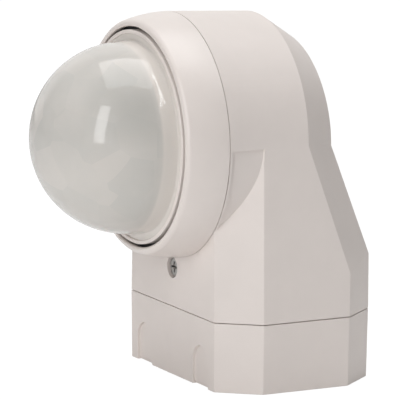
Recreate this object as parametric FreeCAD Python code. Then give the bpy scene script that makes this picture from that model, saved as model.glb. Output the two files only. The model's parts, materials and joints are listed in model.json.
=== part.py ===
import FreeCAD, Part
import math
import os

# Wall-mounted motion sensor: an eight-sided wall base, a body with a lying drum, and a ball lens.
# Millimetres. +Z points away from the wall, the lens looks along -Y, and X = 0 is the plane of symmetry.
# The origin is the centre of the base's wall face.

# ---- driving dimensions -------------------------------------------------------------------------
WIDTH = 76.0            # across the side faces
DEPTH = 54.0            # across the front and back faces of the base
CORNER_X = 9.65         # how far each corner chamfer reaches along the front face
CORNER_Y = 12.1         # how far it reaches along the side face
BASE_HEIGHT = 21.35
JOINT_GAP = 0.5         # shadow gap between the base and the body
BASE_DRAFT = 0.7        # degrees
BACK_DRAFT = 0.35       # degrees, upright part of the body's back
WALL = 2.2
EDGE_R = 0.6            # rounding of moulded edges

AXIS_Z = 75.8           # height of the drum's axis
DRUM_R = 38.0           # at the drum's front end
DRUM_MID_R = 37.05      # at the edge between a front chamfer and a side face
DRUM_BACK_R = 36.7      # where the rear bevel starts; the side faces lean in as far as this
DRUM_FRONT_Y = -27.0
BEVEL_Y = 0.4
REAR_R = 28.4           # drum's flat rear face, level with the axis
REAR_Y = 12.9
REAR_TILT = 0.07        # how far the rear face leans forward for each mm up
REAR_MARGIN = 4.0       # how far the bevel is drawn past the rear face before it is trimmed
SIDE_BEND_Z = 36.0      # where the back starts to slope, at the side face
BACK_BEND_Z = 38.6      # where it starts to slope, at the back face
STEP_DEPTH = 0.45       # lower half of the drum, set in between the seam and the body's chamfer
STEP_LAND = 0.8         # full-size band that is left at the seam

RING_GAP = 0.25         # seam between the body and the cover ring
RING_MOUTH_R = 34.05
RING_SECTION = [(DRUM_R, DRUM_FRONT_Y - RING_GAP), (37.45, -34.0), (36.35, -38.9), (35.35, -40.3),
                (34.7, -40.5), (34.1, -40.25), (RING_MOUTH_R, -39.7)]
RING_THROAT = [(RING_MOUTH_R, -39.3), (35.2, -38.7), (35.5, -36.9)]     # undercut behind a thin lip

LENS_R = 29.5
LENS_CENTRE_Y = -43.5
LENS_WALL = 0.9
LENS_RIM_R = 32.3
LENS_RIM_THICK = 1.4

SCREW_Z = 34.0
SCREW_HEAD_R = 3.0

FIT = 0.08              # radial clearance of a running fit
LOOSE = 0.3             # clearance between pieces that move past each other
PAST = 1.0              # how far a cutting tool runs past a face, or a root into its neighbour
EPS = 0.01
FAR = 300.0

HALF_W = WIDTH / 2.0
HALF_D = DEPTH / 2.0
BODY_Z = BASE_HEIGHT + JOINT_GAP
SIDE_LEAN = (HALF_W - DRUM_BACK_R) / (AXIS_Z - BODY_Z)
CORNER_LEAN = SIDE_LEAN * CORNER_Y / math.hypot(CORNER_X, CORNER_Y)
SIDE_DRAFT = math.degrees(math.atan(SIDE_LEAN))
CORNER_DRAFT = math.degrees(math.atan(CORNER_LEAN))
SIDES = (1, -1)
CORNERS = [(sx, sy) for sx in SIDES for sy in SIDES]


# ---- helpers ------------------------------------------------------------------------------------
def vec(x, y, z):
    return FreeCAD.Vector(x, y, z)


def box(x0, x1, y0, y1, z0, z1):
    return Part.makeBox(x1 - x0, y1 - y0, z1 - z0, vec(x0, y0, z0))


def span(centre, half):
    return centre - half, centre + half


def rod(radius, start, end):
    """A round bar from start to end."""
    line = end - start
    return Part.makeCylinder(radius, line.Length, start, line)


def post(radius, x, y, z0, z1):
    """A round bar along Z."""
    return rod(radius, vec(x, y, z0), vec(x, y, z1))


def pin(radius, x, z, y0, y1):
    """A round bar along Y."""
    return rod(radius, vec(x, y0, z), vec(x, y1, z))


def revolved(wire):
    """A solid of revolution about the drum's axis, from a section in the plane level with it."""
    return Part.Face(wire).revolve(vec(0, 0, AXIS_Z), vec(0, 1, 0), 360)


def turned(profile):
    """The same from (radius, y) points joined by straight lines."""
    points = [vec(r, y, AXIS_Z) for r, y in profile]
    return revolved(Part.makePolygon(points + points[:1]))


def tube(inner, outer, y0, y1):
    """A ring about the drum's axis."""
    return turned([(inner, y0), (outer, y0), (outer, y1), (inner, y1)])


def disc(radius, y0, y1):
    return pin(radius, 0, AXIS_Z, y0, y1)


def around(radius, degrees, y):
    """A point at a radius and angle about the drum's axis, 0 degrees along +X."""
    angle = math.radians(degrees)
    return vec(radius * math.cos(angle), y, AXIS_Z + radius * math.sin(angle))


def sector(middle, half, y0, y1):
    """A pie slice about the drum's axis, half degrees to either side of a middle angle."""
    centre = around(0, 0, y0)
    first = around(FAR, middle - half, y0)
    last = around(FAR, middle + half, y0)
    edges = [
        Part.makeLine(centre, first),
        Part.Arc(first, around(FAR, middle, y0), last).toShape(),
        Part.makeLine(last, centre),
    ]
    return Part.Face(Part.Wire(edges)).extrude(vec(0, y1 - y0, 0))


def join(shapes):
    first = shapes[0]
    return first.multiFuse(shapes[1:]).removeSplitter() if shapes[1:] else first


def cut(shape, tools):
    for tool in tools:
        shape = shape.cut(tool)
    return shape


def clip(shape, point, normal):
    """Removes what lies beyond a plane, on the side its normal points to."""
    block = Part.makeBox(FAR, FAR, FAR, vec(-FAR / 2, -FAR / 2, 0))
    turn = FreeCAD.Rotation(vec(0, 0, 1), normal)
    block.Placement = FreeCAD.Placement(point, turn)
    return shape.cut(block)


def prism(points, z0, z1):
    wire = Part.makePolygon([vec(x, y, z0) for x, y in points + points[:1]])
    return Part.Face(wire).extrude(vec(0, 0, z1 - z0))


def edges_at_y(shape, y):
    """The edges that lie in one plane across Y."""
    return [e for e in shape.Edges if abs(e.BoundBox.YMin - y) < EPS and abs(e.BoundBox.YMax - y) < EPS]


# ---- the eight-sided outline --------------------------------------------------------------------
def corner_normal():
    """Outward direction of the front right chamfer."""
    return vec(CORNER_Y, -CORNER_X, 0).normalize()


def octagon(inset):
    """The base's outline at the joint, moved inwards, with the same chamfer angles."""
    x = HALF_W - inset
    y = HALF_D - inset
    normal = corner_normal()
    reach = normal.x * HALF_W - normal.y * (HALF_D - CORNER_Y) - inset
    y_side = (reach - normal.x * x) / -normal.y
    x_front = (reach + normal.y * y) / normal.x
    quarter = [(x_front, y), (x, y_side)]
    right = [(px, -py) for px, py in quarter] + [(px, py) for px, py in reversed(quarter)]
    left = [(-px, py) for px, py in reversed(right)]
    return right + left


def leaning(normal, degrees):
    """A horizontal normal tipped upwards, for a face that leans inwards as it rises."""
    angle = math.radians(degrees)
    return vec(normal.x * math.cos(angle), normal.y * math.cos(angle), math.sin(angle))


def base_outside(inset, z0, z1):
    """The base narrows slightly towards the wall."""
    block = prism(octagon(inset), z0, z1)
    faces = [
        (vec(HALF_W, 0, 0), vec(1, 0, 0)),
        (vec(0, HALF_D, 0), vec(0, 1, 0)),
        (vec(HALF_W, HALF_D - CORNER_Y, 0), vec(CORNER_Y, CORNER_X, 0).normalize()),
    ]
    for point, normal in faces:
        for sx, sy in CORNERS:
            side = vec(normal.x * sx, normal.y * sy, 0)
            at = vec(point.x * sx, point.y * sy, BASE_HEIGHT) - side * inset
            block = clip(block, at, leaning(side, -BASE_DRAFT))
    return block


def body_block(inset):
    """The eight-sided part of the body up to the drum's axis, moved inwards by inset."""
    block = box(*span(0, FAR / 4), *span(0, FAR / 4), BODY_Z, AXIS_Z)
    bend_corner = vec(REAR_R, HALF_D, BACK_BEND_Z)
    planes = [
        (vec(HALF_W, 0, BODY_Z), leaning(vec(1, 0, 0), SIDE_DRAFT)),
        (vec(0, -HALF_D, BODY_Z), vec(0, -1, 0)),
        (vec(HALF_W, CORNER_Y - HALF_D, BODY_Z), leaning(corner_normal(), CORNER_DRAFT)),
        (vec(0, HALF_D, BODY_Z), leaning(vec(0, 1, 0), BACK_DRAFT)),
        (vec(HALF_W, HALF_D - CORNER_Y, BODY_Z), leaning(back_corner_normal(), BACK_DRAFT)),
        (bend_corner, slope_normal()),
        (bend_corner, back_slope_normal()),
    ]
    for point, normal in planes:
        block = clip(block, point - normal * inset, normal)
        if abs(normal.x) > EPS:
            other = vec(-normal.x, normal.y, normal.z)
            block = clip(block, vec(-point.x, point.y, point.z) - other * inset, other)
    return block


def back_corner_normal():
    normal = corner_normal()
    return vec(normal.x, -normal.y, 0)


def side_x(z):
    """Half the body's width at a height, on its leaning side faces."""
    return HALF_W - (z - BODY_Z) * SIDE_LEAN


def slope_normal():
    """Outward direction of the back right chamfer where it slopes towards the drum."""
    top_side = vec(side_x(AXIS_Z), BEVEL_Y, AXIS_Z)
    low_side = vec(side_x(SIDE_BEND_Z), HALF_D - CORNER_Y, SIDE_BEND_Z)
    low_back = vec(REAR_R, HALF_D, BACK_BEND_Z)
    return (low_back - top_side).cross(low_side - top_side).negative().normalize()


def back_slope_normal():
    """Outward direction of the sloped back, which meets the sloped chamfer along a line in X = REAR_R."""
    corner = slope_normal()
    return vec(0, corner.z, -corner.y).cross(vec(1, 0, 0)).negative().normalize()


def drum_block(inset):
    """The drum and its rear bevel, moved inwards by inset, from the seam to the rear face."""
    bevel_slope = (DRUM_BACK_R - REAR_R) / (REAR_Y - BEVEL_Y)
    bevel_inset = inset * math.sqrt(1 + bevel_slope ** 2)
    bend_y = BEVEL_Y + (inset - bevel_inset) / bevel_slope
    bend_r = DRUM_BACK_R - inset
    end_y = REAR_Y + REAR_MARGIN
    end_r = bend_r - bevel_slope * (end_y - bend_y)
    front = vec(DRUM_R - inset, DRUM_FRONT_Y, AXIS_Z)
    middle = vec(DRUM_MID_R - inset, CORNER_Y - HALF_D, AXIS_Z)
    bend = vec(bend_r, bend_y, AXIS_Z)
    corners = [bend, vec(end_r, end_y, AXIS_Z), vec(0, end_y, AXIS_Z), vec(0, DRUM_FRONT_Y, AXIS_Z), front]
    edges = [Part.Arc(front, middle, bend).toShape()]
    edges += [Part.makeLine(a, b) for a, b in zip(corners, corners[1:])]
    rear = vec(0, 1, REAR_TILT).normalize()
    return clip(revolved(Part.Wire(edges)), vec(0, REAR_Y, AXIS_Z) - rear * inset, rear)


# ---- screws -------------------------------------------------------------------------------------
SLOT_WIDE = 0.6         # screwdriver slot
SLOT_DEEP = 0.6


def slotted_screw(seat, out, head_r, head, shank_r, length):
    """A cheese-head screw whose head stands on seat and faces out."""
    solid = join([rod(head_r, seat, seat + out * head), rod(shank_r, seat + out * EPS, seat - out * length)])
    reach = head_r + PAST
    slot = Part.makeBox(2 * reach, SLOT_WIDE, head, vec(-reach, -SLOT_WIDE / 2, 0))
    turn = FreeCAD.Rotation(vec(0, 0, 1), out)
    slot.Placement = FreeCAD.Placement(seat + out * (head - SLOT_DEEP), turn)
    return solid.cut(slot)


# ---- locking screw and the tower it turns into --------------------------------------------------
TOWER_HALF = 5.0
TOWER_Y = (-20.6, -14.0)
TOWER_TOP = 39.0
FOOT_TOP = 15.0
INSERT_R = 2.6
INSERT_BACK_Y = -15.0
SCREW_SHANK_R = 1.5
SCREW_HEAD = 1.6
SCREW_HEAD_ROUND = 0.45
SCREW_TIP_Y = -15.6
SCREW_RECESS_R = 3.4
SCREW_FACE_Y = -26.3
SCREW_SEAT_Y = SCREW_FACE_Y + SCREW_HEAD
CROSS_REACH = 1.75
CROSS_HALF = 0.32
CROSS_DEPTH = 1.3
CROSS_CONE = (1.0, 0.3, 1.4)    # radius at the face, radius at the bottom, depth
BOSS_R = 5.0
BOSS_BACK_Y = -21.0
O_RING_R = 2.6
O_RING_THICK = 1.2


def screw_line(radius, y0, y1):
    """A round bar on the locking screw's line."""
    return pin(radius, 0, SCREW_Z, y0, y1)


def locking_screw():
    head = screw_line(SCREW_HEAD_R, SCREW_FACE_Y, SCREW_SEAT_Y)
    head = head.makeFillet(SCREW_HEAD_ROUND, edges_at_y(head, SCREW_FACE_Y))
    shank = screw_line(SCREW_SHANK_R, SCREW_SEAT_Y - EPS, SCREW_TIP_Y)
    ends = (SCREW_FACE_Y - PAST, SCREW_FACE_Y + CROSS_DEPTH)
    at = vec(0, SCREW_FACE_Y - EPS, SCREW_Z)
    arms = [
        box(*span(0, CROSS_REACH), *ends, *span(SCREW_Z, CROSS_HALF)),
        box(*span(0, CROSS_HALF), *ends, *span(SCREW_Z, CROSS_REACH)),
        Part.makeCone(*CROSS_CONE, at, vec(0, 1, 0)),
    ]
    return cut(join([head, shank]), arms)


def screw_insert():
    """Brass thread in the base's tower."""
    sleeve = screw_line(INSERT_R, TOWER_Y[0], INSERT_BACK_Y)
    return sleeve.cut(screw_line(SCREW_SHANK_R, TOWER_Y[0] - PAST, INSERT_BACK_Y + PAST))


def screw_o_ring():
    """Keeps water from following the shank; it sits in a groove in the boss."""
    ring = screw_line(O_RING_R, BOSS_BACK_Y - O_RING_THICK, BOSS_BACK_Y)
    return ring.cut(screw_line(SCREW_SHANK_R, BOSS_BACK_Y - O_RING_THICK - PAST, BOSS_BACK_Y + PAST))


# ---- wall base ----------------------------------------------------------------------------------
FLOOR = 2.4
BASE_WALL = 2.4
TONGUE_TOP = 24.0       # the tongue reaches up into the body
TONGUE_ROOT = 2.0
TONGUE_INSET = 1.4
SEAL_TOP = 25.0
CABLE_Y = 15.5
CABLE_HOLE_R = 6.6
SLOT_X = 25.0           # fixing slots
SLOT_Y = 13.0
SLOT_LENGTH = 9.0
SLOT_R = 2.2
KNOCK_X = 19.0          # break-out cable panels
KNOCK_HALF = 5.0
KNOCK_TOP = 12.8
KNOCK_DEPTH = 0.7
KNOCK_WEB = 0.8
KNOCK_LIFT = 0.8        # the panels stop short of the wall
KNOCK_RIM = 0.6         # how much smaller the pocket behind a panel is
REST_X = 13.0           # rests under the terminal block
REST_HALF = 2.0
REST_Y = (-4.0, 3.0)
TERMINAL_Z = 4.0
GROMMET_BORE_R = 4.5
GROMMET_TOP = 6.0
GROMMET_LIP = 1.2
GROMMET_TIP = 0.8       # rubber left round the bore at the top


def arch(centre_x, half, top, y0, y1, bottom):
    """A round-topped panel on the front face."""
    spring = top - half
    feet = [vec(centre_x - half, y0, bottom), vec(centre_x + half, y0, bottom)]
    shoulders = [vec(centre_x + half, y0, spring), vec(centre_x - half, y0, spring)]
    edges = [
        Part.makeLine(feet[0], feet[1]),
        Part.makeLine(feet[1], shoulders[0]),
        Part.Arc(shoulders[0], vec(centre_x, y0, top), shoulders[1]).toShape(),
        Part.makeLine(shoulders[1], feet[0]),
    ]
    return Part.Face(Part.Wire(edges)).extrude(vec(0, y1 - y0, 0))


def fixing_slot(x, y):
    straight = SLOT_LENGTH / 2 - SLOT_R
    ends = [post(SLOT_R, end, y, -PAST, FLOOR + PAST) for end in span(x, straight)]
    return join(ends + [box(*span(x, straight), *span(y, SLOT_R), -PAST, FLOOR + PAST)])


def knock_out(x):
    """A break-out panel: sunk outside, thinned from inside, and open at the wall."""
    front = -HALF_D - PAST
    outer_y = -HALF_D + KNOCK_DEPTH
    inner_y = outer_y + KNOCK_WEB
    pocket_half = KNOCK_HALF - KNOCK_RIM
    pocket_top = KNOCK_TOP - KNOCK_RIM
    return [
        arch(x, KNOCK_HALF, KNOCK_TOP, front, outer_y, -PAST),
        arch(x, pocket_half, pocket_top, inner_y, -HALF_D + BASE_WALL + PAST, FLOOR),
        box(*span(x, KNOCK_HALF), front, inner_y, -PAST, KNOCK_LIFT),
    ]


def base_box():
    shell = base_outside(0, 0, BASE_HEIGHT).cut(base_outside(BASE_WALL, FLOOR, BASE_HEIGHT + PAST))
    tongue = prism(octagon(TONGUE_INSET), BASE_HEIGHT - TONGUE_ROOT, TONGUE_TOP)
    tongue = tongue.cut(prism(octagon(BASE_WALL), BASE_HEIGHT - TONGUE_ROOT - PAST, TONGUE_TOP + PAST))
    root = FLOOR - PAST
    solids = [shell, tongue]
    solids.append(box(*span(0, TOWER_HALF), *TOWER_Y, root, TOWER_TOP))
    solids.append(box(*span(0, TOWER_HALF), BASE_WALL / 2 - HALF_D, TOWER_Y[1], root, FOOT_TOP))
    solids += [box(*span(side * REST_X, REST_HALF), *REST_Y, root, TERMINAL_Z) for side in SIDES]
    holes = [fixing_slot(sx * SLOT_X, sy * SLOT_Y) for sx, sy in CORNERS]
    holes.append(post(CABLE_HOLE_R, 0, CABLE_Y, -PAST, FLOOR + PAST))
    holes.append(screw_line(INSERT_R, TOWER_Y[0] - PAST, INSERT_BACK_Y))
    for side in SIDES:
        holes += knock_out(side * KNOCK_X)
    return cut(join(solids), holes)


def base_seal():
    ring = prism(octagon(TONGUE_INSET), TONGUE_TOP, SEAL_TOP)
    return ring.cut(prism(octagon(BASE_WALL), TONGUE_TOP - PAST, SEAL_TOP + PAST))


def cable_grommet():
    """A rubber bush in the floor, which the supply cable is pushed through."""
    neck_top = FLOOR + GROMMET_LIP
    solids = [
        post(CABLE_HOLE_R, 0, CABLE_Y, 0, FLOOR),
        post(CABLE_HOLE_R + GROMMET_LIP, 0, CABLE_Y, FLOOR, neck_top),
        Part.makeCone(CABLE_HOLE_R, GROMMET_BORE_R + GROMMET_TIP, GROMMET_TOP - neck_top,
                      vec(0, CABLE_Y, neck_top)),
    ]
    return join(solids).cut(post(GROMMET_BORE_R, 0, CABLE_Y, -PAST, GROMMET_TOP + PAST))


# ---- terminal block -----------------------------------------------------------------------------
TERMINAL_TOP = 18.5
TERMINAL_HALF = 16.0
TERMINAL_Y = (-9.0, 6.0)
TERMINAL_BEVEL = 0.8
POLE_PITCH = 7.4
POLE_X = [(pole - 1.5) * POLE_PITCH for pole in range(4)]
WIRE_HOLE_R = 2.0
WIRE_Z = 9.0
CLAMP_Y = (-1.5, 5.0)
CLAMP_Z = (6.2, 13.5)
CLAMP_HALF = 2.5
CLAMP_SIDE = 0.7        # thickness of the cage
CLAMP_LOW = 0.8
CLAMP_HIGH = 1.4
CLAMP_SCREW_Y = 2.0
CLAMP_SCREW_R = 1.25
CLAMP_SCREW_LENGTH = 4.9
CLAMP_HEAD_R = 2.1
CLAMP_HEAD = 2.0
CLAMP_HEAD_GAP = 0.2
HEAD_SUNK = 1.0         # terminal screw heads, below the block's top
SOCKET_Y = -4.5
SOCKET_HALF = 1.6
SOCKET_LOW = 9.0
SOCKET_TOP = 17.0
SOCKET_WEB = 1.0
BLADE_THICK = 0.8
BLADE_HALF = 1.9
BLADE_LOW = 11.5
BLADE_TOP = 33.0


def terminal_block():
    block = box(*span(0, TERMINAL_HALF), *TERMINAL_Y, TERMINAL_Z, TERMINAL_TOP)
    holes = []
    for x in POLE_X:
        holes.append(box(*span(x, CLAMP_HALF), *CLAMP_Y, *CLAMP_Z))
        holes.append(pin(WIRE_HOLE_R, x, WIRE_Z, CLAMP_Y[1] - PAST, TERMINAL_Y[1] + PAST))
        holes.append(post(CLAMP_HEAD_R + CLAMP_HEAD_GAP, x, CLAMP_SCREW_Y, CLAMP_Z[1] - PAST,
                          TERMINAL_TOP + PAST))
        holes.append(box(*span(x, CLAMP_HALF), *span(SOCKET_Y, SOCKET_HALF), SOCKET_LOW, TERMINAL_TOP + PAST))
    solid = cut(block, holes)
    outer = TERMINAL_Y[1] - TERMINAL_Y[0] - PAST
    edges = [e for e in solid.Edges if abs(e.BoundBox.ZMin - TERMINAL_TOP) < EPS and e.Length > outer]
    return solid.makeChamfer(TERMINAL_BEVEL, edges)


def terminal_clamps():
    """Square metal cages, open towards the wire holes."""
    cages = []
    for x in POLE_X:
        cage = box(*span(x, CLAMP_HALF), *CLAMP_Y, *CLAMP_Z)
        window = box(*span(x, CLAMP_HALF - CLAMP_SIDE), CLAMP_Y[0] - PAST, CLAMP_Y[1] + PAST,
                     CLAMP_Z[0] + CLAMP_LOW, CLAMP_Z[1] - CLAMP_HIGH)
        thread = post(CLAMP_SCREW_R, x, CLAMP_SCREW_Y, CLAMP_Z[1] - CLAMP_HIGH - EPS, CLAMP_Z[1] + PAST)
        cages.append(cut(cage, [window, thread]))
    return Part.makeCompound(cages)


def terminal_screws():
    seat_z = TERMINAL_TOP - HEAD_SUNK - CLAMP_HEAD
    screws = [slotted_screw(vec(x, CLAMP_SCREW_Y, seat_z), vec(0, 0, 1), CLAMP_HEAD_R, CLAMP_HEAD,
                            CLAMP_SCREW_R, CLAMP_SCREW_LENGTH) for x in POLE_X]
    return Part.makeCompound(screws)


def contact_sockets():
    """Sprung brass forks that each take one blade."""
    forks = []
    for x in POLE_X:
        outer = box(*span(x, BLADE_HALF), *span(SOCKET_Y, SOCKET_HALF), SOCKET_LOW, SOCKET_TOP)
        gap = box(*span(x, BLADE_HALF + PAST), *span(SOCKET_Y, BLADE_THICK / 2), SOCKET_LOW + SOCKET_WEB,
                  SOCKET_TOP + PAST)
        forks.append(outer.cut(gap))
    return Part.makeCompound(forks)


# ---- body ---------------------------------------------------------------------------------------
MOUTH_R = 33.0
MOUTH_DEPTH = 4.2
FLOOR_Z = 27.0
FLOOR_THICK = 1.6
FLOOR_GAP = 0.3         # floor plate to the walls
TOWER_GAP = 0.5
BLADE_GAP = 0.2
GUIDE_X = 24.0          # guides that hold the main board's lower edge
GUIDE_HALF = 2.0
GUIDE_WALL = 1.5
GUIDE_TOP = 32.6
PILLAR_X = 30.5
PILLAR_Y = 11.5
PILLAR_R = 3.0
PILLAR_TOP = 38.0
PILLARS = [(sx * PILLAR_X, sy * PILLAR_Y) for sx, sy in CORNERS]
RIB_HALF = 0.8
TONGUE_GAP = 0.2
POST_X = 21.0           # posts for the main board
POST_Z = AXIS_Z + 9.0
POST_R = 3.0
SHANK_GAP = 0.3         # round the locking screw's shank
BOARD_Y = (0.0, 1.6)
BOARD_LOW = 29.6
FRONT = BOARD_Y[0]
BACK = BOARD_Y[1]
FLOOR_SCREW = (2.1, 1.5, 1.1, 7.0)      # head radius, head height, shank radius, length
FLOOR_SCREW_DEPTH = 8.0
BOARD_SCREW = (2.1, 1.6, 0.9, 6.6)
BOARD_SCREW_DEPTH = 7.6
CLEAR_HOLE = 0.2        # round a screw shank


def drum_with_step():
    """The drum, its lower half set in a little between the seam and the body's front chamfers."""
    lower = box(*span(0, HALF_W), DRUM_FRONT_Y + STEP_LAND, CORNER_Y - HALF_D, AXIS_Z - DRUM_R, AXIS_Z)
    return drum_block(0).cut(lower.cut(drum_block(STEP_DEPTH)))


def front_upright(edge):
    """Whether this is one of the tall edges of the body's front chamfers."""
    bounds = edge.BoundBox
    upright = bounds.YLength < EPS and bounds.XLength < WALL and bounds.ZLength > BASE_HEIGHT
    return upright and bounds.YMax < 0


def body_outside():
    """The outer form, with the upright edges of its front chamfers rounded."""
    solid = join([drum_with_step(), body_block(0)])
    return solid.makeFillet(EDGE_R, [e for e in solid.Edges if front_upright(e)])


def body_inside():
    drum = clip(drum_block(WALL), vec(0, DRUM_FRONT_Y + WALL, 0), vec(0, -1, 0))
    rebate = prism(octagon(TONGUE_INSET - TONGUE_GAP), BODY_Z - PAST, SEAL_TOP)
    entry = prism(octagon(WALL), BODY_Z - PAST, BODY_Z + PAST)
    return join([drum, body_block(WALL), rebate, entry])


def pillars():
    """Posts that the floor plate is screwed to, each tied to its side wall by a rib."""
    low = FLOOR_Z + FLOOR_THICK
    posts = []
    for x, y in PILLARS:
        wall = math.copysign(HALF_W - WALL / 2, x)
        posts.append(post(PILLAR_R, x, y, low, PILLAR_TOP))
        posts.append(box(min(x, wall), max(x, wall), *span(y, RIB_HALF), low, PILLAR_TOP))
    return posts


def body_shell():
    outside = body_outside()
    extras = pillars()
    extras.append(screw_line(BOSS_R, -HALF_D + WALL / 2, BOSS_BACK_Y))
    extras += [pin(POST_R, side * POST_X, POST_Z, BACK, REAR_Y) for side in SIDES]
    solid = join([outside.cut(body_inside())] + [piece.common(outside) for piece in extras])
    holes = [
        disc(MOUTH_R, DRUM_FRONT_Y - PAST, DRUM_FRONT_Y + MOUTH_DEPTH),
        screw_line(SCREW_RECESS_R, -HALF_D - PAST, SCREW_SEAT_Y),
        screw_line(SCREW_SHANK_R + SHANK_GAP, -HALF_D, BOSS_BACK_Y + PAST),
        screw_line(O_RING_R, BOSS_BACK_Y - O_RING_THICK, BOSS_BACK_Y + PAST),
    ]
    holes += [pin(BOARD_SCREW[2], side * POST_X, POST_Z, BACK - PAST, BOARD_SCREW_DEPTH) for side in SIDES]
    holes += [post(FLOOR_SCREW[2], x, y, FLOOR_Z, FLOOR_Z + FLOOR_SCREW_DEPTH) for x, y in PILLARS]
    return cut(solid, holes)


def board_guide(x):
    guide = box(*span(x, GUIDE_HALF), FRONT - GUIDE_WALL, BACK + GUIDE_WALL, FLOOR_Z + PAST, GUIDE_TOP)
    return guide.cut(box(*span(x, GUIDE_HALF + PAST), *BOARD_Y, BOARD_LOW, GUIDE_TOP + PAST))


def body_floor():
    """Plate that closes the body's underside, with slots for the blades and a notch for the tower."""
    inset = WALL + FLOOR_GAP
    plate = prism(octagon(inset), FLOOR_Z, FLOOR_Z + FLOOR_THICK).common(body_block(inset))
    through = (FLOOR_Z - PAST, FLOOR_Z + FLOOR_THICK + PAST)
    holes = [box(*span(0, TOWER_HALF + TOWER_GAP), -HALF_D, TOWER_Y[1] + TOWER_GAP, *through)]
    blade_slot = BLADE_THICK / 2 + BLADE_GAP
    holes += [box(*span(x, BLADE_HALF + BLADE_GAP), *span(SOCKET_Y, blade_slot), *through) for x in POLE_X]
    holes += [post(FLOOR_SCREW[2] + CLEAR_HOLE, x, y, *through) for x, y in PILLARS]
    return cut(join([plate] + [board_guide(side * GUIDE_X) for side in SIDES]), holes)


def floor_screws():
    screws = [slotted_screw(vec(x, y, FLOOR_Z), vec(0, 0, -1), *FLOOR_SCREW) for x, y in PILLARS]
    return Part.makeCompound(screws)


# ---- boards and their components ----------------------------------------------------------------
BOARD_HALF = 27.0
BOARD_SHOULDER_Z = AXIS_Z + 15.0
BOARD_TOP_HALF = 17.0
BOARD_TOP = AXIS_Z + 27.0
ARM_LOW = 32.2          # where the blades are bent towards the board
RELAY = (-15.0, 14.0, 31.5, 44.2, 15.5)         # x from, x to, z from, z to, how far it stands off
FILM = (-18.0, 0.0, 46.0, 53.5, 12.5)
CASE_ROUND = 0.7
CAN = (5.0, -16.0, 48.0, 12.0, 0.6)             # radius, x, z, how far it stands off, rounding
FUSE = (4.0, 0.0, 48.0, 7.0, 0.5)
VARISTOR_R = 5.0
VARISTOR_X = (12.0, 15.4)
VARISTOR_Y = -7.2
VARISTOR_Z = 50.0
VARISTOR_ROUND = 1.2
LEG_X = (13.3, 14.1)
LEG_HALF = 0.4
LEG_SPREAD = 2.5
LEG_REACH = 3.0
COIL_X = 9.0
COIL_Z = 52.0
COIL_FLANGE_R = 4.5
COIL_R = 3.9
COIL_FLANGE = 1.5
COIL_TALL = 11.0
CHIP = (-3.5, 3.5, 58.0, 65.0)
CHIP_THICK = 1.1
CHIP_DOT = (0.5, -2.5, 64.0, 0.1)               # radius, x, z, depth
CONNECTOR_HALF = (5.0, 3.2)
PLUG_HALF = (4.0, 2.2)
CONNECTOR_TALL = 7.0
PLUG_TALL = 10.5
PLUG_SEAT = 1.5
PLUG_BEVEL = 0.5
CABLE_R = 1.8
SETTINGS_Z = AXIS_Z + 23.4
SETTINGS_Y = (-34.4, -28.2)
SETTINGS_HALF = 13.0
BOARD_THICK = BACK - FRONT
RIBBON_HALF = 4.0
RIBBON_Z = (SETTINGS_Z + 0.4, SETTINGS_Z + 1.0)
HEADER_HALF = 5.0
HEADER_TALL = 3.0
HEADER_Z = (SETTINGS_Z - 1.2, SETTINGS_Z + 2.6)


def main_board():
    outline = [
        (-BOARD_HALF, BOARD_LOW), (BOARD_HALF, BOARD_LOW), (BOARD_HALF, BOARD_SHOULDER_Z),
        (BOARD_TOP_HALF, BOARD_TOP), (-BOARD_TOP_HALF, BOARD_TOP), (-BOARD_HALF, BOARD_SHOULDER_Z),
    ]
    wire = Part.makePolygon([vec(x, FRONT, z) for x, z in outline + outline[:1]])
    board = Part.Face(wire).extrude(vec(0, BOARD_THICK, 0))
    radius = BOARD_SCREW[2] + LOOSE
    return cut(board, [pin(radius, side * POST_X, POST_Z, FRONT - PAST, BACK + PAST) for side in SIDES])


def board_screws():
    screws = [slotted_screw(vec(side * POST_X, FRONT, POST_Z), vec(0, -1, 0), *BOARD_SCREW) for side in SIDES]
    return Part.makeCompound(screws)


def contact_blades():
    """Blades bent off the main board, then down through the floor plate."""
    blades = []
    for x in POLE_X:
        upright = box(*span(x, BLADE_HALF), *span(SOCKET_Y, BLADE_THICK / 2), BLADE_LOW, BLADE_TOP)
        arm = box(*span(x, BLADE_HALF), SOCKET_Y, FRONT, ARM_LOW, BLADE_TOP)
        blades.append(join([upright, arm]))
    return Part.makeCompound(blades)


def moulded_case(x0, x1, z0, z1, deep):
    """A component in a square case behind the board."""
    case = box(x0, x1, BACK, BACK + deep, z0, z1)
    return case.makeFillet(CASE_ROUND, [e for e in case.Edges if e.BoundBox.YLength > EPS])


def relay():
    return moulded_case(*RELAY)


def film_capacitor():
    return moulded_case(*FILM)


def round_part(radius, x, z, tall, rounding):
    """A component in a round can that stands forward from the board."""
    can = pin(radius, x, z, FRONT, FRONT - tall)
    return can.makeFillet(rounding, edges_at_y(can, FRONT - tall))


def electrolytic_capacitor():
    return round_part(*CAN)


def fuse():
    return round_part(*FUSE)


def varistor():
    ends = [vec(x, VARISTOR_Y, VARISTOR_Z) for x in VARISTOR_X]
    coat = rod(VARISTOR_R, *ends)
    coat = coat.makeFillet(VARISTOR_ROUND, [e for e in coat.Edges if e.BoundBox.XLength < EPS])
    legs = [box(*LEG_X, FRONT - LEG_REACH, FRONT, *span(z, LEG_HALF)) for z in span(VARISTOR_Z, LEG_SPREAD)]
    return join([coat] + legs)


def choke_coil():
    """A coil wound between two ferrite flanges."""
    levels = (BACK, BACK + COIL_FLANGE, BACK + COIL_TALL - COIL_FLANGE, BACK + COIL_TALL)
    radii = (COIL_FLANGE_R, COIL_R, COIL_FLANGE_R)
    return join([pin(r, COIL_X, COIL_Z, a, b) for r, a, b in zip(radii, levels, levels[1:])])


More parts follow.
